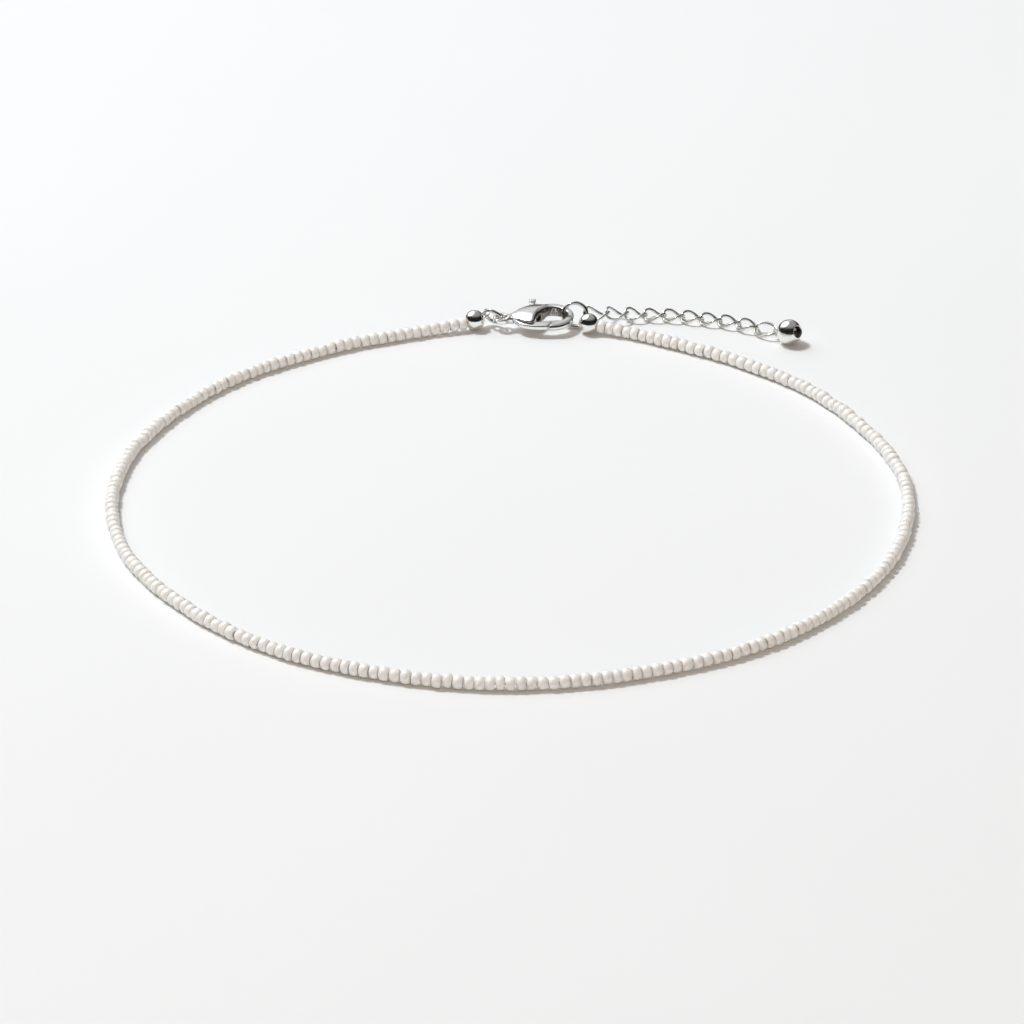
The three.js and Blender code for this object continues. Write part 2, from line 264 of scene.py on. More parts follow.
def make_thread_finish():
    material, nodes, shader = new_finish("bead_thread", {"Roughness": 0.7})
    uv = nodes.node("ShaderNodeUVMap", {"uv_map": "along_thread"})
    along = nodes.node("ShaderNodeSeparateXYZ", None, {0: uv}, "X")
    around = nodes.node("ShaderNodeSeparateXYZ", None, {0: uv}, "Y")
    turn = (along + PLY_TURNS * around) * math.tau
    stripe = 0.5 + 0.5 * nodes.node("ShaderNodeMath", {"operation": "SINE"}, {0: turn})
    nodes.feed(shader.inputs["Base Color"], nodes.colours(stripe, THREAD_SHADE, THREAD_LIGHT))
    nodes.feed(shader.inputs["Normal"], nodes.bump(stripe, 0.4, 0.02 * MM))
    return material


THREAD_FINISH = make_thread_finish()
print("finish:", THREAD_FINISH.name)

# %% [markdown]
# ## From numbers to a mesh
# Most pieces are a grid of points: rows along something and columns round it. One function numbers the
# grid's squares, and one makes the object: it merges doubled points at poles and seams, turns the faces
# outward where the signed volume is negative, and says which body the piece rides on. A third writes
# where shade is painted onto a piece.

# %% Mesh helpers
LOOP_CENTRE = np.array([0.0194, -2.0388, 0.0])
DOUBLE = 1e-7


def grid_quads(rows, columns, wrap_rows=False, copies=1):
    """Corner numbers of a grid's squares: each point with its next row and its next column."""
    lower_rows = np.arange(rows if wrap_rows else rows - 1)
    row, column = np.meshgrid(lower_rows, np.arange(columns), indexing="ij")
    next_row = (row + 1) % rows
    next_column = (column + 1) % columns
    corners = [row * columns + column, next_row * columns + column,
               next_row * columns + next_column, row * columns + next_column]
    one = np.stack(corners, -1).reshape(-1, 4)
    starts = rows * columns * np.arange(copies)
    return (one + starts[:, None, None]).reshape(-1, 4)


def signed_volume(points, quads):
    """The sum of the cones from the origin to each face: positive when the faces point outward."""
    a, b, c, d = (points[quads[:, corner]] for corner in range(4))
    return np.einsum("ij,ij->", a, np.cross(b, c) + np.cross(c, d)) / 6


def make_piece(name, points, quads, material, body="anklet", replaces=()):
    """A smooth object from points in loop millimetres, riding on a body, for the nodes it replaces."""
    metres = (points.reshape(-1, 3) + LOOP_CENTRE) * MM
    centred = metres - metres.mean(0)
    facing_out = quads if signed_volume(centred, quads) > 0 else quads[:, ::-1]
    mesh = bpy.data.meshes.new(name)
    mesh.from_pydata(metres, [], facing_out)
    shell = bmesh.new()
    shell.from_mesh(mesh)
    bmesh.ops.remove_doubles(shell, verts=shell.verts, dist=DOUBLE)
    shell.to_mesh(mesh)
    shell.free()
    mesh.shade_smooth()
    mesh.materials.append(material)
    piece = bpy.data.objects.new(name, mesh)
    bpy.context.scene.collection.objects.link(piece)
    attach(piece, body)
    if replaces:
        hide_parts(*replaces)
    print(f"{name}: {len(mesh.vertices)} points, {len(mesh.polygons)} faces")
    return piece


def paint_shade_where(piece, share_at):
    """Writes how much painted shade each point takes, by a rule that takes the points in loop millimetres.
    """
    places = np.empty(3 * len(piece.data.vertices))
    piece.data.vertices.foreach_get("co", places)
    share = share_at(places.reshape(-1, 3) / MM - LOOP_CENTRE)
    piece.data.attributes.new(SHADE_PAINT_ATTRIBUTE, "FLOAT", "POINT").data.foreach_set("value", share)


def unit(vectors):
    """Each vector divided by its own length."""
    return vectors / np.linalg.norm(vectors, axis=-1, keepdims=True)


def turn_x(degrees):
    """A turn about the x axis, as a table of three rows."""
    c, s = math.cos(math.radians(degrees)), math.sin(math.radians(degrees))
    return np.array([[1, 0, 0], [0, c, -s], [0, s, c]])


def turn_z(degrees):
    """A turn about the z axis, as a table of three rows."""
    c, s = math.cos(math.radians(degrees)), math.sin(math.radians(degrees))
    return np.array([[c, -s, 0], [s, c, 0], [0, 0, 1]])


print("mesh helpers ready, loop centre at", LOOP_CENTRE, "mm")

# %% [markdown]
# ## The strand's route
# The beads follow the same points as the model. A smooth curve through points is a row of
# cubic pieces, each with slopes taken from its neighbours. Here the steps between points are weighed by
# the root of their distance, which stops the curve from looping where points are close.

# %% The curve through the route's points
TIP_RADIUS = 1.2
LEFT_TIP = np.array([-4.2, 43.9, TIP_RADIUS])
RIGHT_TIP = np.array([9.15, 42.95, TIP_RADIUS])
STRAND_ROUTE = [
    (74, 43.75), (69, 43.3), (62, 42.8), (52, 42.5), (35, 42.7), (5, 43.2), (-25, 43.3), (-55, 43.0),
    (-90, 42.9), (-125, 43.0), (-160, 43.3), (-190, 43.2), (-220, 42.8), (-242, 42.55), (-251, 42.7),
    (-258, 43.2),
]


def smooth_path(points, steps=60):
    """A cubic through each pair of points; its slopes come from the points before and after them."""
    points = np.asarray(points, float)
    padded = np.vstack([2 * points[0] - points[1], points, 2 * points[-1] - points[-2]])
    gap = np.sqrt(np.linalg.norm(np.diff(padded, axis=0), axis=1))[:, None]
    before, here, there, after = padded[:-3], padded[1:-2], padded[2:-1], padded[3:]
    first, middle, last = gap[:-2], gap[1:-1], gap[2:]
    slope = (here - before) / first - (there - before) / (first + middle) + (there - here) / middle
    next_slope = (there - here) / middle - (after - here) / (middle + last) + (after - there) / last
    slope, next_slope = slope * middle, next_slope * middle
    t = np.linspace(0, 1, steps, endpoint=False)[None, :, None]
    cubic = 2 * here - 2 * there + slope + next_slope
    square = -3 * here + 3 * there - 2 * slope - next_slope
    path = cubic[:, None] * t**3 + square[:, None] * t**2 + slope[:, None] * t + here[:, None]
    return np.vstack([path.reshape(-1, points.shape[1]), points[-1:]])


def along_path(path, distances):
    """Places at the given distances along a path, and the directions there."""
    travelled = np.concatenate([[0], np.cumsum(np.linalg.norm(np.diff(path, axis=0), axis=1))])
    slopes = np.gradient(path, travelled, axis=0)
    axes = range(path.shape[1])
    places = np.stack([np.interp(distances, travelled, path[:, axis]) for axis in axes], -1)
    directions = np.stack([np.interp(distances, travelled, slopes[:, axis]) for axis in axes], -1)
    return places, unit(directions), travelled[-1]


route_degrees, route_radius = np.array(STRAND_ROUTE).T
route_angle = np.radians(route_degrees)
route_points = route_radius[:, None] * np.stack([np.cos(route_angle), np.sin(route_angle)], -1)
strand_path = smooth_path(np.vstack([RIGHT_TIP[:2], route_points, LEFT_TIP[:2]]))
strand_length = along_path(strand_path, np.zeros(1))[2]
print(f"strand from tip to tip: {strand_length:.1f} mm")

# %% [markdown]
# ## No two beads alike
# A seed bead is a short cut of glass tube, so beads differ in girth, in length and in the slant of the
# cut, and on the thread they lean and stand aside a little. An even row would look machined. All these
# numbers come from one seeded generator, so that the strand is the same each time. The beads don't quite
# touch: the light that comes through the gaps keeps the lines between them pale.

# %% Draw the sizes of the beads
BEAD_COUNT = 234
BEAD_GAP = 0.08
TIP_SEAT = 1.0
GIRTH_SPREAD, GIRTH_LIMITS = 0.03, (0.92, 1.06)
ROOM_SPREAD, ROOM_LIMITS = 0.06, (0.85, 1.15)
MOST_SLANT, LEAN_SPREAD, SIDEWAYS_SPREAD = 0.045, 0.035, 0.045
TINT_SHAPE = (1.6, 2.6)
chance = np.random.default_rng(23)

bead_girth = np.clip(chance.normal(1.0, GIRTH_SPREAD, BEAD_COUNT), *GIRTH_LIMITS)
bead_room = np.clip(chance.normal(1.0, ROOM_SPREAD, BEAD_COUNT), *ROOM_LIMITS)
bead_room *= (strand_length - 2 * TIP_SEAT) / bead_room.sum()
bead_at = TIP_SEAT + np.cumsum(bead_room) - bead_room / 2
bead_slant = chance.uniform(0, MOST_SLANT, BEAD_COUNT)
slant_turn = chance.uniform(0, math.tau, BEAD_COUNT)
bead_lean = chance.normal(0, LEAN_SPREAD, (BEAD_COUNT, 2))
bead_sideways = chance.normal(0, SIDEWAYS_SPREAD, BEAD_COUNT)
bead_tint = chance.beta(*TINT_SHAPE, BEAD_COUNT)
print(f"{BEAD_COUNT} beads, {bead_room.mean():.3f} mm apart")

# %% [markdown]
# ## The beads
# Tumbling the hot glass rounds the edges of a bead. Its section is a closed ring of seven points, which is
# carried round the hole. A shape that is repeated this often stays at a few dozen faces, and smooth
# shading rounds it. All beads are made at once: numpy adds the axes for beads, section points and turns.

# %% Make the beads
BEAD_RADIUS = 0.75
BEAD_SIDES = 12
BEAD_CLEARANCE = 0.012
END_LIFT = 0.3
LIFT_LENGTH = 8
BEAD_SECTION = np.array([
    [-0.34, 0.24], [-0.53, 0.47], [-0.41, 0.665], [0.0, 0.75], [0.41, 0.665], [0.53, 0.47], [0.34, 0.24],
])
bead_length = (bead_room - BEAD_GAP) / np.ptp(BEAD_SECTION[:, 0])


def end_lift(distance):
    """The strand rises to the holes of its tips, by the square of how near it is to them."""
    nearest = np.minimum(distance, strand_length - distance)
    return END_LIFT * np.clip(1 - nearest / LIFT_LENGTH, 0, None) ** 2


def bead_points():
    """Section points, carried round each bead's own axis and set at its place on the route."""
    flat, heading, _ = along_path(strand_path, bead_at)
    forward = np.column_stack([heading, np.zeros(BEAD_COUNT)])
    side = np.column_stack([heading[:, 1], -heading[:, 0], np.zeros(BEAD_COUNT)])
    up = np.tile([0.0, 0.0, 1.0], (BEAD_COUNT, 1))
    axis = unit(forward + bead_lean[:, :1] * side + bead_lean[:, 1:] * up)
    across = unit(np.cross(axis, up))
    upright = np.cross(across, axis)
    height = BEAD_RADIUS * bead_girth + BEAD_CLEARANCE + end_lift(bead_at)
    centre = np.column_stack([flat, height]) + bead_sideways[:, None] * side
    turn = math.tau * np.arange(BEAD_SIDES) / BEAD_SIDES
    radius = bead_girth[:, None, None] * BEAD_SECTION[None, :, 1, None]
    reach = bead_slant[:, None, None] * radius * np.cos(turn - slant_turn[:, None, None])
    along = bead_length[:, None, None] * BEAD_SECTION[None, :, 0, None] + reach
    return (centre[:, None, None] + along[..., None] * axis[:, None, None]
            + (radius * np.cos(turn))[..., None] * across[:, None, None]
            + (radius * np.sin(turn))[..., None] * upright[:, None, None])


strand_nodes = [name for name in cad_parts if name.startswith("bead_strand")]
bead_quads = grid_quads(len(BEAD_SECTION), BEAD_SIDES, wrap_rows=True, copies=BEAD_COUNT)
beads = make_piece("seed_beads", bead_points(), bead_quads, WHITE_GLASS,
                   replaces=strand_nodes)
tint_layer = beads.data.attributes.new(BEAD_TINT, "FLOAT", "POINT")
tint_layer.data.foreach_set("value", np.repeat(bead_tint, len(BEAD_SECTION) * BEAD_SIDES))

# %% [markdown]
# ## The thread through the beads
# A profile carried along a path makes any wire: at each point of the path stand two directions square
# to it, and a circle is drawn in them. The thread uses it along the strand's route, at the height of
# the beads' holes.

# %% Make the thread
THREAD_RADIUS = 0.11
THREAD_SIDES = 6
THREAD_STEP = 0.4
THREAD_START = 0.5
PLY_LENGTH = 0.5


def wire_points(path, radius, sides, reference, closed=False, flatten=1.0):
    """Circles round a path: the first direction leans to the reference, the second is square to it."""
    if closed:
        tangent = unit(np.roll(path, -1, 0) - np.roll(path, 1, 0))
    else:
        tangent = unit(np.gradient(path, axis=0))
    first = unit(reference - np.sum(reference * tangent, -1, keepdims=True) * tangent)
    second = np.cross(tangent, first)
    turn = math.tau * np.arange(sides) / sides
    ring = flatten * np.cos(turn)[None, :, None] * first[:, None]
    ring = ring + np.sin(turn)[None, :, None] * second[:, None]
    return path[:, None] + radius * ring


def cap_ends(points):
    """Closes an open wire: its first and last circles shrink to their own middles."""
    ends = points[[0, -1]].mean(1, keepdims=True)
    return np.concatenate([0 * points[:1] + ends[0], points, 0 * points[:1] + ends[1]])


thread_at = np.arange(THREAD_START, strand_length - THREAD_START, THREAD_STEP)
thread_flat = along_path(strand_path, thread_at)[0]
thread_path = np.column_stack([thread_flat, BEAD_RADIUS + end_lift(thread_at)])
up_all_along = np.tile([0.0, 0.0, 1.0], (len(thread_path), 1))
thread_grid = cap_ends(wire_points(thread_path, THREAD_RADIUS, THREAD_SIDES, up_all_along))
thread = make_piece("bead_thread", thread_grid, grid_quads(len(thread_grid), THREAD_SIDES),
                    THREAD_FINISH)
corner_point = np.empty(len(thread.data.loops), np.int64)
thread.data.loops.foreach_get("vertex_index", corner_point)
nearest_step = np.clip((corner_point - 1) // THREAD_SIDES, 0, len(thread_at) - 1)
thread_uv = np.column_stack([thread_at[nearest_step] / PLY_LENGTH,
                             ((corner_point - 1) % THREAD_SIDES) / THREAD_SIDES])
thread.data.uv_layers.new(name="along_thread").data.foreach_set("uv", thread_uv.ravel())

# %% [markdown]
# ## Turned balls
# Each end of the strand goes into a hollow ball that hides the knot, and the chain ends in a larger ball
# with an open bore. A turned shape is a half outline spun round an axis: here it starts at the bottom of
# the bore, runs out along the bore's wall, over a small rounded lip, and round the ball to the far pole.

# %% Turn a ball with a bore
BALL_SIDES = 48
BALL_ROWS = 30
LIP_ROWS = 7
BORE_ROWS = 3


def ball_outline(radius, bore, lip, depth):
    """Distances along the axis and from it: bore bottom, bore wall, a lip arc, then the ball's arc."""
    lip_ring = bore + lip
    lip_middle = math.sqrt((radius - lip) ** 2 - lip_ring**2)
    leave = math.atan2(lip_ring, lip_middle)
    lip_turn = np.linspace(-math.pi / 2, leave, LIP_ROWS)[:, None]
    lip_arc = np.hstack([lip_middle + lip * np.cos(lip_turn), lip_ring + lip * np.sin(lip_turn)])
    ball_turn = np.linspace(leave, math.pi, BALL_ROWS)[1:, None]
    ball_arc = radius * np.hstack([np.cos(ball_turn), np.sin(ball_turn)])
    floor = radius - depth
    wall = np.linspace(floor, lip_middle, BORE_ROWS, endpoint=False)
    bore_wall = np.column_stack([wall, np.full(BORE_ROWS, bore)])
    return np.vstack([[[floor, 0]], bore_wall, lip_arc, ball_arc])


def turned(outline, centre, axis):
    """Each point of the outline is carried round the axis, which points out of the bore."""
    axis = unit(np.asarray(axis, float))
    side = unit(np.cross([0, 0, 1], axis))
    upright = np.cross(axis, side)
    turn = math.tau * np.arange(BALL_SIDES) / BALL_SIDES
    round_axis = np.cos(turn)[:, None] * side + np.sin(turn)[:, None] * upright
    return centre + outline[:, None, :1] * axis + outline[:, None, 1:] * round_axis


def joined(*grids):
    """Several grids of points with their squares, numbered on as one piece."""
    points = [grid.reshape(-1, 3) for grid, _ in grids]
    starts = np.cumsum([0] + [len(group) for group in points[:-1]])
    quads = [numbers + start for (_, numbers), start in zip(grids, starts)]
    return np.vstack(points), np.vstack(quads)


print("a ball is turned with", BALL_SIDES, "sides and", BALL_ROWS, "rows")

# %% [markdown]
# ## Ball tips and jump rings
# A jump ring is a piece of round wire bent until its ends meet, so it has a fine cut. The small one joins
# the left tip to the clasp. The large one stands in the clasp's hook and carries the right tip and the
# chain. Each tip has a strap that curls round its ring. A ring lies across its own x axis, which the yaw
# turns on the table and the tilt stands up.

# %% Make the rings and the tips
SMALL_RING = {"radius": 1.1, "wire": 0.42, "centre": np.array([-2.05, 44.38, 1.46]),
              "frame": turn_z(-30) @ turn_x(-60), "cut": 100, "hook": 180}
LARGE_RING = {"radius": 1.4, "wire": 0.44, "centre": np.array([7.56, 44.5, 1.6]),
              "frame": turn_x(72), "cut": 250, "hook": -40}
RING_STEPS = 72
RING_SIDES = 16
RING_CUT = 0.04
TIP_BORE = 0.5
TIP_LIP = 0.09
TIP_DEPTH = 0.9
STRAP_RADIUS = 0.44
STRAP_WIRE = 0.26
STRAP_WIDTH = 1.35
AIM_STEP = 4


def ring_piece(name, ring, node):
    """A circle of wire from one side of its cut to the other, with both ends closed."""
    half_cut = RING_CUT / ring["radius"] / 2
    cut = math.radians(ring["cut"])
    turn = np.linspace(cut + half_cut, cut + math.tau - half_cut, RING_STEPS)
    spoke = np.column_stack([np.cos(turn), np.sin(turn), 0 * turn]) @ ring["frame"].T
    path = ring["centre"] + ring["radius"] * spoke
    grid = cap_ends(wire_points(path, ring["wire"] / 2, RING_SIDES, spoke))
    quads = grid_quads(len(grid), RING_SIDES)
    make_piece(name, grid, quads, WIRE_SILVER, replaces=[node])


def strap_grid(ring):
    """A closed loop round the ring's wire, in the plane of the ring's spoke and its axis."""
    hook = math.radians(ring["hook"])
    spoke = ring["frame"] @ np.array([math.cos(hook), math.sin(hook), 0])
    axle = ring["frame"][:, 2]
    turn = math.tau * np.arange(RING_STEPS) / RING_STEPS
    outward = np.cos(turn)[:, None] * spoke + np.sin(turn)[:, None] * axle
    path = ring["centre"] + ring["radius"] * spoke + STRAP_RADIUS * outward
    points = wire_points(path, STRAP_WIRE / 2 * STRAP_WIDTH, RING_SIDES, outward, True, 1 / STRAP_WIDTH)
    return points, grid_quads(RING_STEPS, RING_SIDES, wrap_rows=True)


def tip_piece(name, centre, ring, strand_end, node):
    """A hollow ball whose bore faces the strand, with its strap."""
    outline = ball_outline(TIP_RADIUS, TIP_BORE, TIP_LIP, TIP_DEPTH)
    ball = turned(outline, centre, strand_end - centre)
    points, quads = joined((ball, grid_quads(len(outline), BALL_SIDES)), strap_grid(ring))
    make_piece(name, points, quads, SILVER, replaces=[node])


ring_piece("small_jump_ring", SMALL_RING, "jump_ring_left")
ring_piece("large_jump_ring", LARGE_RING, "jump_ring_right")
tip_piece("left_ball_tip", LEFT_TIP, SMALL_RING, thread_path[-1 - AIM_STEP], "ball_tip_left")
tip_piece("right_ball_tip", RIGHT_TIP, LARGE_RING, thread_path[AIM_STEP], "ball_tip_right")

# %% [markdown]
# ## The clasp as a casting
# The clasp is cast in one piece and tumbled, so its edges are soft and its parts run into each other. A
# grid of two parameters can't give a body with a mouth, a slot and an eye. Instead each part is a
# distance: how far any point in space is outside it. The smaller of two distances joins parts, the larger
# cuts them, and a blend between them rounds the edge. The surface is where the distance is zero.

# %% Distances that join, cut and round
def soft_larger(first, second, blend):
    """The larger of two distances, with a rounded change from one to the other."""
    share = np.clip(0.5 + 0.5 * (first - second) / blend, 0, 1)
    return second + share * (first - second) + blend * share * (1 - share)


def soft_smaller(first, second, blend):
    """The smaller of two distances, rounded in the same way."""
    return -soft_larger(-first, -second, blend)


def outline_distance(u, v, corners):
    """Distance to a closed outline in a plane: to its nearest edge, and negative inside it."""
    corners = np.asarray(corners, float)
    nearest = np.full(u.shape, np.inf)
    inside = np.zeros(u.shape, bool)
    for (u0, v0), (u1, v1) in zip(corners, np.roll(corners, -1, 0)):
        run, rise = u1 - u0, v1 - v0
        share = np.clip(((u - u0) * run + (v - v0) * rise) / (run**2 + rise**2), 0, 1)
        nearest = np.minimum(nearest, np.hypot(u - u0 - share * run, v - v0 - share * rise))
        if rise:
            crosses = (v0 > v) != (v1 > v)
            inside ^= crosses & (u < u0 + (v - v0) * run / rise)
    return np.where(inside, -nearest, nearest)


def slab(flat, w, half_height, edge):
    """A plate of a flat outline, as thick as twice the half height, with round edges."""
    over = np.abs(w) - half_height
    outside = np.hypot(np.maximum(flat + edge, 0), np.maximum(over + edge, 0))
    return outside - edge + np.minimum(np.maximum(flat, over) + edge, 0)


def cast(name, box, step, distance, body, node):
    """The zero surface of a distance, found on a fine grid in a box and moved into the clasp's place."""
    low, high = box
    axes = [np.arange(a, b, step) for a, b in zip(low, high)]
    u, v, w = np.meshgrid(*axes, indexing="ij", sparse=True)
    field = openvdb.FloatGrid()
    field.background = 1.0
    field.copyFromArray(distance(u, v, w).astype(np.float32))
    points, quads = field.convertToQuads(isovalue=0.0)
    placed = CLASP_TAIL + (np.asarray(low) + step * points) @ CLASP_FRAME.T
    return make_piece(name, placed, quads.astype(np.int64), SILVER, body, [node])


CLASP_TAIL = np.array([-1.02, 44.35, 1.45])
CLASP_FRAME = turn_z(-2.7) @ turn_x(5)
print("distance tools ready")

# %% [markdown]
# ## The clasp in plan
# Seen from above, the body is a drop: a neck with the eye, a swelling tail half, and a hook that bends
# round the mouth to the seam in front. Its edges are smooth curves through a few points, its nose is a
# circle and its mouth an oval. A slot from front to back leaves room for the lever. All of these are flat
# outlines, in millimetres along the clasp from its tail and across it.

# %% Draw the clasp's outlines
NOSE_CENTRE, NOSE_RADIUS, NOSE_END = 5.9, 2.6, (6.6, 2.504)
FRONT_EDGE = [
    (0.7, -0.95), (1.7, -1.35), (2.9, -2.0), (4.3, -2.5), (NOSE_CENTRE, -NOSE_RADIUS),
    (NOSE_END[0], -NOSE_END[1]),
]
BACK_EDGE = [(0.7, -0.1), (1.7, 0.75), (2.9, 1.6), (4.3, 2.3), (NOSE_CENTRE, NOSE_RADIUS), NOSE_END]
DOME_RIM = [
    (0.3, -1.4), (0.95, -1.05), (1.7, -1.42), (2.75, -2.0), (3.5, -2.2), (3.95, -1.85), (4.1, -1.15),
    (4.35, -0.4), (4.75, 0.4), (5.3, 1.15), (6.1, 2.0), (7.2, 3.0),
]
DOME_BEHIND = 5
MOUTH = {"along": 5.85, "across": 0.1, "length": 1.75, "width": 1.5}
SEAM_OUTER, SEAM_INNER, SEAM_GAP = (5.45, -2.6), (5.95, -1.5), 0.15
SLOT_TAIL, SLOT_OUTSIDE, SLOT_SEAM_END = 1.35, 3.4, -1.3
SLOT_FRONT_CORNERS = [(4.9, 0.1), (3.98, 0.45), (3.95, 2.7)]
OUTLINE_STEPS = 6
TINY = 1e-6


def edge_of(rows):
    """The smooth edge through a few points: its place across, and its slope, at any place along."""
    path = smooth_path(rows)
    return lambda u: (np.interp(u, path[:, 0], path[:, 1]),
                      np.interp(u, path[:, 0], np.gradient(path[:, 1], path[:, 0])))


def drop_outline(u, v):
    """Outside the front or the back edge, or outside the nose's circle past its middle."""
    front, front_slope = edge_of(FRONT_EDGE)(u)
    back, back_slope = edge_of(BACK_EDGE)(u)
    beside = np.maximum((front - v) / np.hypot(1, front_slope), (v - back) / np.hypot(1, back_slope))
    return np.where(u < NOSE_CENTRE, beside, np.hypot(u - NOSE_CENTRE, v) - NOSE_RADIUS)


def oval_distance(u, v, oval):
    """How far outside an oval: its equation divided by how fast that equation grows."""
    a, b = (u - oval["along"]) / oval["length"], (v - oval["across"]) / oval["width"]
    reach = np.hypot(a, b) + TINY
    return (reach - 1) * reach / np.hypot(a / oval["length"], b / oval["width"])


def seam_along(v):
    """Where the slanted seam is along the clasp, at a place across it."""
    slant = (SEAM_INNER[0] - SEAM_OUTER[0]) / (SEAM_INNER[1] - SEAM_OUTER[1])
    return SEAM_OUTER[0] + SEAM_GAP + slant * (v - SEAM_OUTER[1])


dome_outline = np.vstack([
    smooth_path(DOME_RIM, OUTLINE_STEPS), [(DOME_RIM[-1][0], DOME_BEHIND), (DOME_RIM[0][0], DOME_BEHIND)],
])
slot_outline = [
    (SLOT_TAIL, -SLOT_OUTSIDE), (seam_along(-SLOT_OUTSIDE), -SLOT_OUTSIDE),
    (seam_along(SLOT_SEAM_END), SLOT_SEAM_END), *SLOT_FRONT_CORNERS,
    (SLOT_FRONT_CORNERS[-1][0], SLOT_OUTSIDE), (SLOT_TAIL, SLOT_OUTSIDE),
]
print("outlines drawn: dome with", len(dome_outline), "corners, slot with", len(slot_outline))

# %% [markdown]
# ## The body of the clasp
# The flat outlines now get their heights. The tail half is a low dome above and below, the hook is a bar
# that is taller behind than in front, and the eye is a plate with round edges. The mouth's wall leans, so
# that the casting comes out of its mould. Each change from one part to another has a blend of its own: a
# short one leaves a crisp ridge, a long one a soft swell. Shade is painted brown onto the wall of the
# mouth.

# %% Cast the clasp's body
CAST_STEP = 0.05
CAST_BOX = (-1.3, -3.1, -1.2), (8.9, 3.1, 1.2)
DOME = {"along": 4.2, "length": 3.3, "width": 2.75, "height": 0.92}
BELLY = {"along": 4.2, "length": 3.2, "width": 2.4, "height": 0.85}
BULGE_SLOPE, BULGE_SINK, LEAST_SWELL = 0.85, 0.4, 1e-3
SOFT_RIM_FROM, SOFT_RIM_LENGTH = 3.4, 0.8
MOUTH_DRAFT = 0.3
BAR_HEIGHT, BAR_TAPER, BAR_DROP = 0.43, 0.035, 0.16
EYE = {"across": -0.55, "ring": 0.775, "half_width": 0.225, "half_height": 0.32, "edge": 0.16}
SLOT_HALF_HEIGHT = 0.36
BLEND = {"neck": 0.1, "dome": 0.22, "ridge": 0.32, "rim": 0.8, "bar": 0.45, "mouth": 0.16, "slot": 0.05,
         "parts": 0.12, "eye": 0.3, "hole": 0.12}
# how far the painted shade reaches past the mouth's wall, and how it fades toward the bar's top
SHADE_PAINT_REACH, SHADE_PAINT_FADE, SHADE_PAINT_TOP, TOP_FADE = 0.1, 0.12, 0.5, 0.15


def bulge(u, v, w, oval):
    """Above a low oval dome, or below the plane that it stands on."""
    swell = 1 - ((u - oval["along"]) / oval["length"]) ** 2 - (v / oval["width"]) ** 2
    over = w - oval["height"] * np.sqrt(np.maximum(swell, LEAST_SWELL))
    return np.maximum(BULGE_SLOPE * over, -w - BULGE_SINK)


def clasp_body(u, v, w):
    """Dome and bar joined inside the drop outline, cut by the mouth and the slot, with the eye added."""
    drop = soft_larger(drop_outline(u, v), FRONT_EDGE[0][0] - u, BLEND["neck"])
    rim = outline_distance(u + 0 * v, v + 0 * u, dome_outline)
    slot = outline_distance(u + 0 * v, v + 0 * u, slot_outline)
    soft_share = np.clip((u - SOFT_RIM_FROM) / SOFT_RIM_LENGTH, 0, 1)
    rim_blend = BLEND["ridge"] + (BLEND["rim"] - BLEND["ridge"]) * soft_share
    dome = soft_larger(soft_larger(drop, bulge(u, v, w, DOME), BLEND["dome"]), rim, rim_blend)
    belly = soft_larger(soft_larger(drop, bulge(u, v, -w, BELLY), BLEND["dome"]), rim, BLEND["ridge"])
    bar_top, bar_bottom = BAR_HEIGHT + BAR_TAPER * v, BAR_HEIGHT + BAR_DROP * np.maximum(v, 0)
    bar = soft_larger(drop, np.maximum(w - bar_top, -w - bar_bottom), BLEND["bar"])
    bar = soft_larger(bar, MOUTH_DRAFT * w - oval_distance(u, v, MOUTH), BLEND["mouth"])
    bar = soft_larger(bar, -slot, BLEND["slot"])
    body = soft_smaller(np.minimum(dome, belly), bar, BLEND["parts"])
    body = soft_larger(body, -np.maximum(slot, np.abs(w) - SLOT_HALF_HEIGHT), BLEND["slot"])
    from_eye = np.hypot(u, v - EYE["across"])
    eye = slab(np.abs(from_eye - EYE["ring"]) - EYE["half_width"], w, EYE["half_height"], EYE["edge"])
    hole = EYE["half_width"] - EYE["ring"] + from_eye
    return soft_larger(soft_smaller(body, eye, BLEND["eye"]), -hole, BLEND["hole"])


def mouth_painted_shade(places):
    """Painted shade on the wall of the mouth, fading just outside it and toward the top of the bar."""
    u, v, w = ((places - CLASP_TAIL) @ CLASP_FRAME).T
    beyond = oval_distance(u, v, MOUTH) - MOUTH_DRAFT * w
    below_top = np.clip((SHADE_PAINT_TOP - w) / TOP_FADE, 0, 1)
    return np.clip((SHADE_PAINT_REACH - beyond) / SHADE_PAINT_FADE, 0, 1) * below_top


casting = cast("clasp_casting", CAST_BOX, CAST_STEP, clasp_body, "anklet", "clasp_body")
# paints shade in brown on the mouth's wall
paint_shade_where(casting, mouth_painted_shade)

# %% [markdown]
# ## The lever
# The lever is one flat piece: the gate along the front, a hub round the hidden pin, and an arm that
# comes out at the back as a thumb tab. It turns on the pin, so it rides on its own body. Its outline is
# drawn in the plane of the clasp, and the same distance tools give it round edges.

# %% Cast the lever
LEVER_STEP = 0.045
LEVER_BOX = (1.3, -2.9, -0.5), (6.2, 3.8, 0.5)
LEVER_HALF_HEIGHT, LEVER_EDGE = 0.3, 0.18
LEVER_GATE = [(1.55, -1.3), (2.2, -2.05), (3.2, -2.5), (4.3, -2.65), SEAM_OUTER]
LEVER_HEEL = (4.2, -1.5)
LEVER_ARM_FRONT, LEVER_ARM_BACK = (3.4, -0.4), (2.6, 0.2)
LEVER_TAB = {"along": 3.46, "across": 3.55, "half_width": 0.34, "length": 1.0}
THUMB_START, THUMB_SLOPE, THUMB_RISE, THUMB_FLARE = 2.75, 0.3, 0.2, 0.1
LEVER_PIVOT, LEVER_HOLE = (2.4, -0.95), 0.36
GATE_STEPS = 8


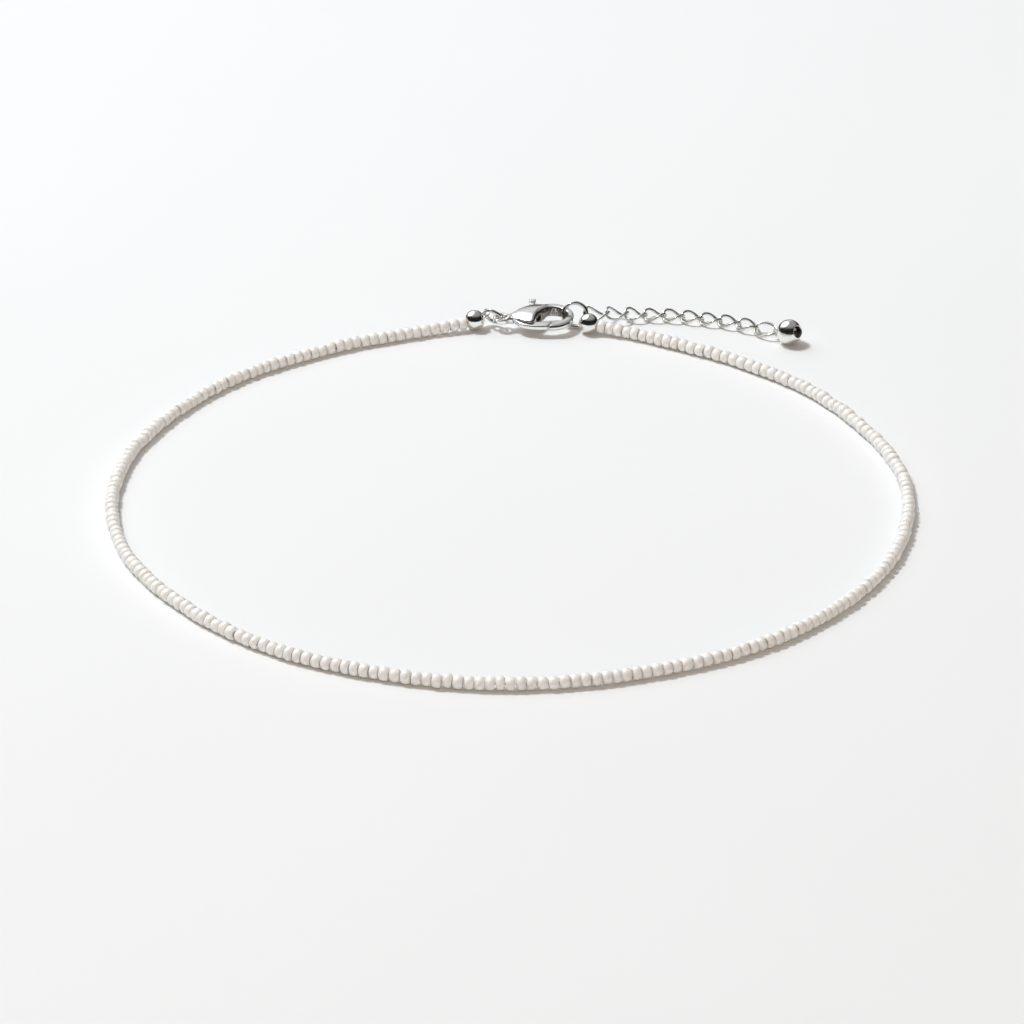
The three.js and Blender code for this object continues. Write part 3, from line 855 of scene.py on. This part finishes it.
def bend(start, corner, end):
    """A curve from start to end that leans toward the corner: three points weighed by squares of t."""
    t = np.linspace(0, 1, GATE_STEPS)[:, None]
    return (1 - t) ** 2 * np.array(start) + 2 * t * (1 - t) * np.array(corner) + t**2 * np.array(end)


def lever_outline():
    """Corners in order: the gate, the seam, the heel and arm, the thumb tab, and back round the hub."""
    right = LEVER_TAB["along"] + LEVER_TAB["half_width"]
    left = LEVER_TAB["along"] - LEVER_TAB["half_width"]
    tip, root = LEVER_TAB["across"], LEVER_TAB["across"] - LEVER_TAB["length"]
    return np.vstack([
        smooth_path(LEVER_GATE, GATE_STEPS), [SEAM_INNER],
        bend(LEVER_HEEL, (LEVER_ARM_FRONT[0], LEVER_HEEL[1]), LEVER_ARM_FRONT),
        [(right, root), (right, THUMB_START), (right + THUMB_FLARE, tip),
         (left - THUMB_FLARE, tip), (left, THUMB_START), (left, root)],
        bend(LEVER_ARM_BACK, (LEVER_GATE[0][0], LEVER_ARM_BACK[1]), LEVER_GATE[0])[:-1],
    ])


def clasp_lever(u, v, w):
    """A plate of the lever's outline that rises at the thumb tab, cut by the hole for the pin."""
    flat = outline_distance(u + 0 * v, v + 0 * u, lever_outline())
    hole = LEVER_HOLE - np.hypot(u - LEVER_PIVOT[0], v - LEVER_PIVOT[1])
    thumb = THUMB_RISE * np.clip((v - THUMB_START) / THUMB_SLOPE, 0, 1)
    return np.maximum(slab(flat, w - thumb / 2, LEVER_HALF_HEIGHT + thumb / 2, LEVER_EDGE), hole)


cast("clasp_gate_lever", LEVER_BOX, LEVER_STEP, clasp_lever, "lever", "clasp_lever")

# %% [markdown]
# ## The extension chain
# Each link is a ring of thin wire, pulled long and twisted by a quarter turn, so that the next link lies
# flat against it. As an angle runs round the link, its long way is a cosine and its short way a sine, and
# the plane of the short way turns with the cosine. Seen from the front this gives the row of leaf shapes.
# The links' joints are points on the route, from the large ring down to the table and out to the ball.

# %% Link the chain
LINK_WIRE = 0.33
LINK_WIDTH = 2.15
LINK_STEPS = 48
LINK_SIDES = 10
LINK_OVERLAP = 0.175
RING_OVERLAP = 0.37
CHAIN_TWIST = 45
CHAIN_JOINTS = np.array([
    (8.96, 44.52, 1.68), (11.35, 45.60, 1.30), (13.60, 46.40, 0.88), (15.80, 46.64, 0.60),
    (18.05, 46.61, 0.58), (20.22, 46.25, 0.58), (22.42, 45.63, 0.58), (24.58, 45.05, 0.58),
    (26.76, 44.24, 0.58), (28.75, 42.85, 0.64), (31.07, 41.04, 0.91),
])
FIRST_TWIST, LAST_TWIST = 60, 0


def chain_grid():
    """All links at once: joints push their ends apart by the overlap, then the wire goes round."""
    starts, ends = CHAIN_JOINTS[:-1], CHAIN_JOINTS[1:]
    heading = unit(ends - starts)
    links = len(heading)
    before = np.full((links, 1), LINK_OVERLAP)
    after = np.full((links, 1), LINK_OVERLAP)
    before[0], after[-1] = RING_OVERLAP, 0
    starts, ends = starts - before * heading, ends + after * heading
    half_length = np.linalg.norm(ends - starts, axis=1)[:, None, None] / 2
    side = unit(np.cross([0, 0, 1], heading))
    upright = np.cross(heading, side)
    left = np.radians(np.r_[FIRST_TWIST, np.full(links - 1, CHAIN_TWIST)])[:, None, None]
    right = np.radians(np.r_[np.full(links - 1, -CHAIN_TWIST), LAST_TWIST])[:, None, None]
    turn = (math.tau * np.arange(LINK_STEPS) / LINK_STEPS)[None, :, None]
    twist = (left + right) / 2 + (right - left) / 2 * np.cos(turn)
    short_way = np.cos(twist) * side[:, None] + np.sin(twist) * upright[:, None]
    along, across = half_length * heading[:, None], LINK_WIDTH / 2 * short_way
    path = (starts + ends)[:, None] / 2 + np.cos(turn) * along + np.sin(turn) * across
    grids = [wire_points(link, LINK_WIRE / 2, LINK_SIDES, link - link.mean(0), True) for link in path]
    return np.stack(grids)


links = chain_grid()
link_quads = grid_quads(LINK_STEPS, LINK_SIDES, wrap_rows=True, copies=len(links))
make_piece("extension_links", links, link_quads, WIRE_SILVER, replaces=["extension_chain"])
print(f"{len(links)} links, lowest point {links[..., 2].min():.3f} mm above the table")

# %% [markdown]
# ## The ball at the chain's end
# A larger ball, drilled from its far side, ends the chain. The last link hangs in a small eye that is
# soldered to it. Shade is painted brown into the bore.

# %% Turn the end ball
END_BALL = np.array([32.4, 39.9, 1.5])
END_YAW, END_RISE = -40.6, math.radians(18.5)
END_AXIS = turn_z(END_YAW) @ np.array([math.cos(END_RISE), 0, math.sin(END_RISE)])
END_RADIUS, END_BORE, END_LIP, END_DEPTH = 1.5, 0.66, 0.08, 1.0
END_EYE_RADIUS, END_EYE_WIRE = 0.42, 0.28


def end_eye_grid():
    """An upright ring of wire behind the ball, in line with its bore."""
    middle = END_BALL - (END_RADIUS + END_EYE_RADIUS - END_EYE_WIRE / 4) * END_AXIS
    upright = np.cross(END_AXIS, unit(np.cross([0, 0, 1], END_AXIS)))
    turn = math.tau * np.arange(RING_STEPS) / RING_STEPS
    spoke = np.cos(turn)[:, None] * END_AXIS + np.sin(turn)[:, None] * upright
    grid = wire_points(middle + END_EYE_RADIUS * spoke, END_EYE_WIRE / 2, RING_SIDES, spoke, True)
    return grid, grid_quads(RING_STEPS, RING_SIDES, wrap_rows=True)


def bore_painted_shade(places):
    """Painted shade inside the bore: nearer to the axis than its wall, on the side that is drilled."""
    along = (places - END_BALL) @ END_AXIS
    from_axis = np.linalg.norm(places - END_BALL - along[:, None] * END_AXIS, axis=1)
    return 1.0 * ((along > 0) & (from_axis < END_BORE + END_LIP / 4))


end_outline = ball_outline(END_RADIUS, END_BORE, END_LIP, END_DEPTH)
end_ball_grid = turned(end_outline, END_BALL, END_AXIS)
end_points, end_quads = joined((end_ball_grid, grid_quads(len(end_outline), BALL_SIDES)), end_eye_grid())
end_ball = make_piece("chain_end_ball", end_points, end_quads, SILVER, replaces=["end_ball"])
# paints shade in brown inside the bore
paint_shade_where(end_ball, bore_painted_shade)

# %% [markdown]
# ## What stays from the model
# Only the lever's pin keeps its own solid. It is hidden in the clasp, and it takes the same silver.

# %% Finish the pin
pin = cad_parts["clasp_pin"]
pin.data.materials.clear()
pin.data.materials.append(SILVER)
print("pin finished in", SILVER.name)

# %% [markdown]
# ## The table
# The anklet lies on a seamless white table. The table is a stage piece: it takes the shadows, but it is no
# part of the object. Its white is a little blue, which balances the warm lamp in front, and broad faint
# patches keep it from looking like a computer's white.

# %% Lay the table
TABLE_HALF = 2.0
TABLE_WHITE = (0.865, 0.885, 0.892)
TABLE_SHADE = (0.845, 0.865, 0.872)
TABLE_PATCH = 60 * MM


def make_table():
    """One large square at the height where the beads touch down."""
    material, nodes, shader = new_finish("table_paper", {"Roughness": 0.9, "Specular IOR Level": 0.0})
    patch = nodes.noise(nodes.place(), TABLE_PATCH)
    nodes.feed(shader.inputs["Base Color"], nodes.colours(patch, TABLE_WHITE, TABLE_SHADE))
    corners = TABLE_HALF * np.array([(-1, -1, 0), (1, -1, 0), (1, 1, 0), (-1, 1, 0)])
    mesh = bpy.data.meshes.new("table")
    mesh.from_pydata(corners, [], [(0, 1, 2, 3)])
    mesh.materials.append(material)
    table = bpy.data.objects.new("table", mesh)
    bpy.context.scene.collection.objects.link(table)


make_table()
print("table laid at height 0")

# %% [markdown]
# ## The light
# A small lamp stands high on the left, a little behind the loop, so the shadows fall short to the right
# and to the front. Round it is a large soft box, which softens the shadows' edges and is what the silver
# mirrors as its broad highlight. A warm lamp in front fills the shaded side of the beads and turns their
# shadow brown. Silver mirrors everything, so this lamp is hidden from reflections. The surroundings are
# there for the silver too: a dark room, which draws the black bands on the balls, a grey ceiling, and a
# pale backdrop behind on the left.

# %% Light the studio
KEY_FROM = Vector((-0.42, 0.27, 0.86))
BOX_FROM = Vector((-0.48, 0.43, 0.77))
FILL_FROM = Vector((0.15, -0.88, 0.50))
KEY_DISTANCE, KEY_SIZE, KEY_POWER = 1.1, 0.15, 7.1
BOX_DISTANCE, BOX_SIZE, BOX_POWER = 1.5, 1.64, 7.6
FILL_DISTANCE, FILL_SIZE, FILL_POWER = 2.0, 2.0, 16.0
KEY_COLOUR, FILL_COLOUR = (0.95, 0.972, 1.0), (1.0, 0.765, 0.60)
ROOM_DARK, CEILING_GREY, BACKDROP_PALE = [(grey, grey, grey) for grey in (0.012, 0.33, 0.75)]
CEILING_LEAN, CEILING_EDGE = 0.35, (0.55, 0.85)
BACKDROP_LEAN, BACKDROP_FOOT, BACKDROP_SIDE = 0.5, (0.2, 0.42), (0.6, 0.85)


def area_light(name, direction, distance, size, power, colour):
    """A round lamp in a direction, at a distance, that faces the middle of the loop."""
    light = bpy.data.lights.new(name, "AREA")
    light.shape = "DISK"
    light.size = size
    light.energy = power
    light.color = colour
    lamp = bpy.data.objects.new(name, light)
    lamp.location = direction.normalized() * distance
    lamp.rotation_euler = direction.to_track_quat("Z", "Y").to_euler()
    bpy.context.scene.collection.objects.link(lamp)
    return lamp


def studio_surroundings():
    """A colour for each direction: its height, how far back and how far across decide which part it is."""
    world = bpy.data.worlds.new("studio")
    bpy.context.scene.world = world
    world.use_nodes = True
    nodes = Nodes(world.node_tree)
    direction = nodes.node("ShaderNodeTexCoord", output="Generated")
    across = nodes.node("ShaderNodeSeparateXYZ", None, {0: direction}, "X")
    back = nodes.node("ShaderNodeSeparateXYZ", None, {0: direction}, "Y")
    height = nodes.node("ShaderNodeSeparateXYZ", None, {0: direction}, "Z")
    ceiling = nodes.steps(height + CEILING_LEAN * back, *CEILING_EDGE)
    side = nodes.steps(back - BACKDROP_LEAN * across, *BACKDROP_SIDE)
    backdrop = nodes.steps(height, *BACKDROP_FOOT) * side
    room = nodes.colours(ceiling, ROOM_DARK, CEILING_GREY)
    light = nodes.colours(backdrop, room, BACKDROP_PALE)
    nodes.feed(world.node_tree.nodes["Background"].inputs["Color"], light)


area_light("key_light", KEY_FROM, KEY_DISTANCE, KEY_SIZE, KEY_POWER, KEY_COLOUR)
area_light("soft_box", BOX_FROM, BOX_DISTANCE, BOX_SIZE, BOX_POWER, KEY_COLOUR)
fill = area_light("fill_light", FILL_FROM, FILL_DISTANCE, FILL_SIZE, FILL_POWER, FILL_COLOUR)
fill.visible_glossy = False
studio_surroundings()
bpy.context.scene.view_settings.view_transform = "Standard"
print("key light", KEY_POWER, "W, soft box", BOX_POWER, "W, fill", FILL_POWER, "W")
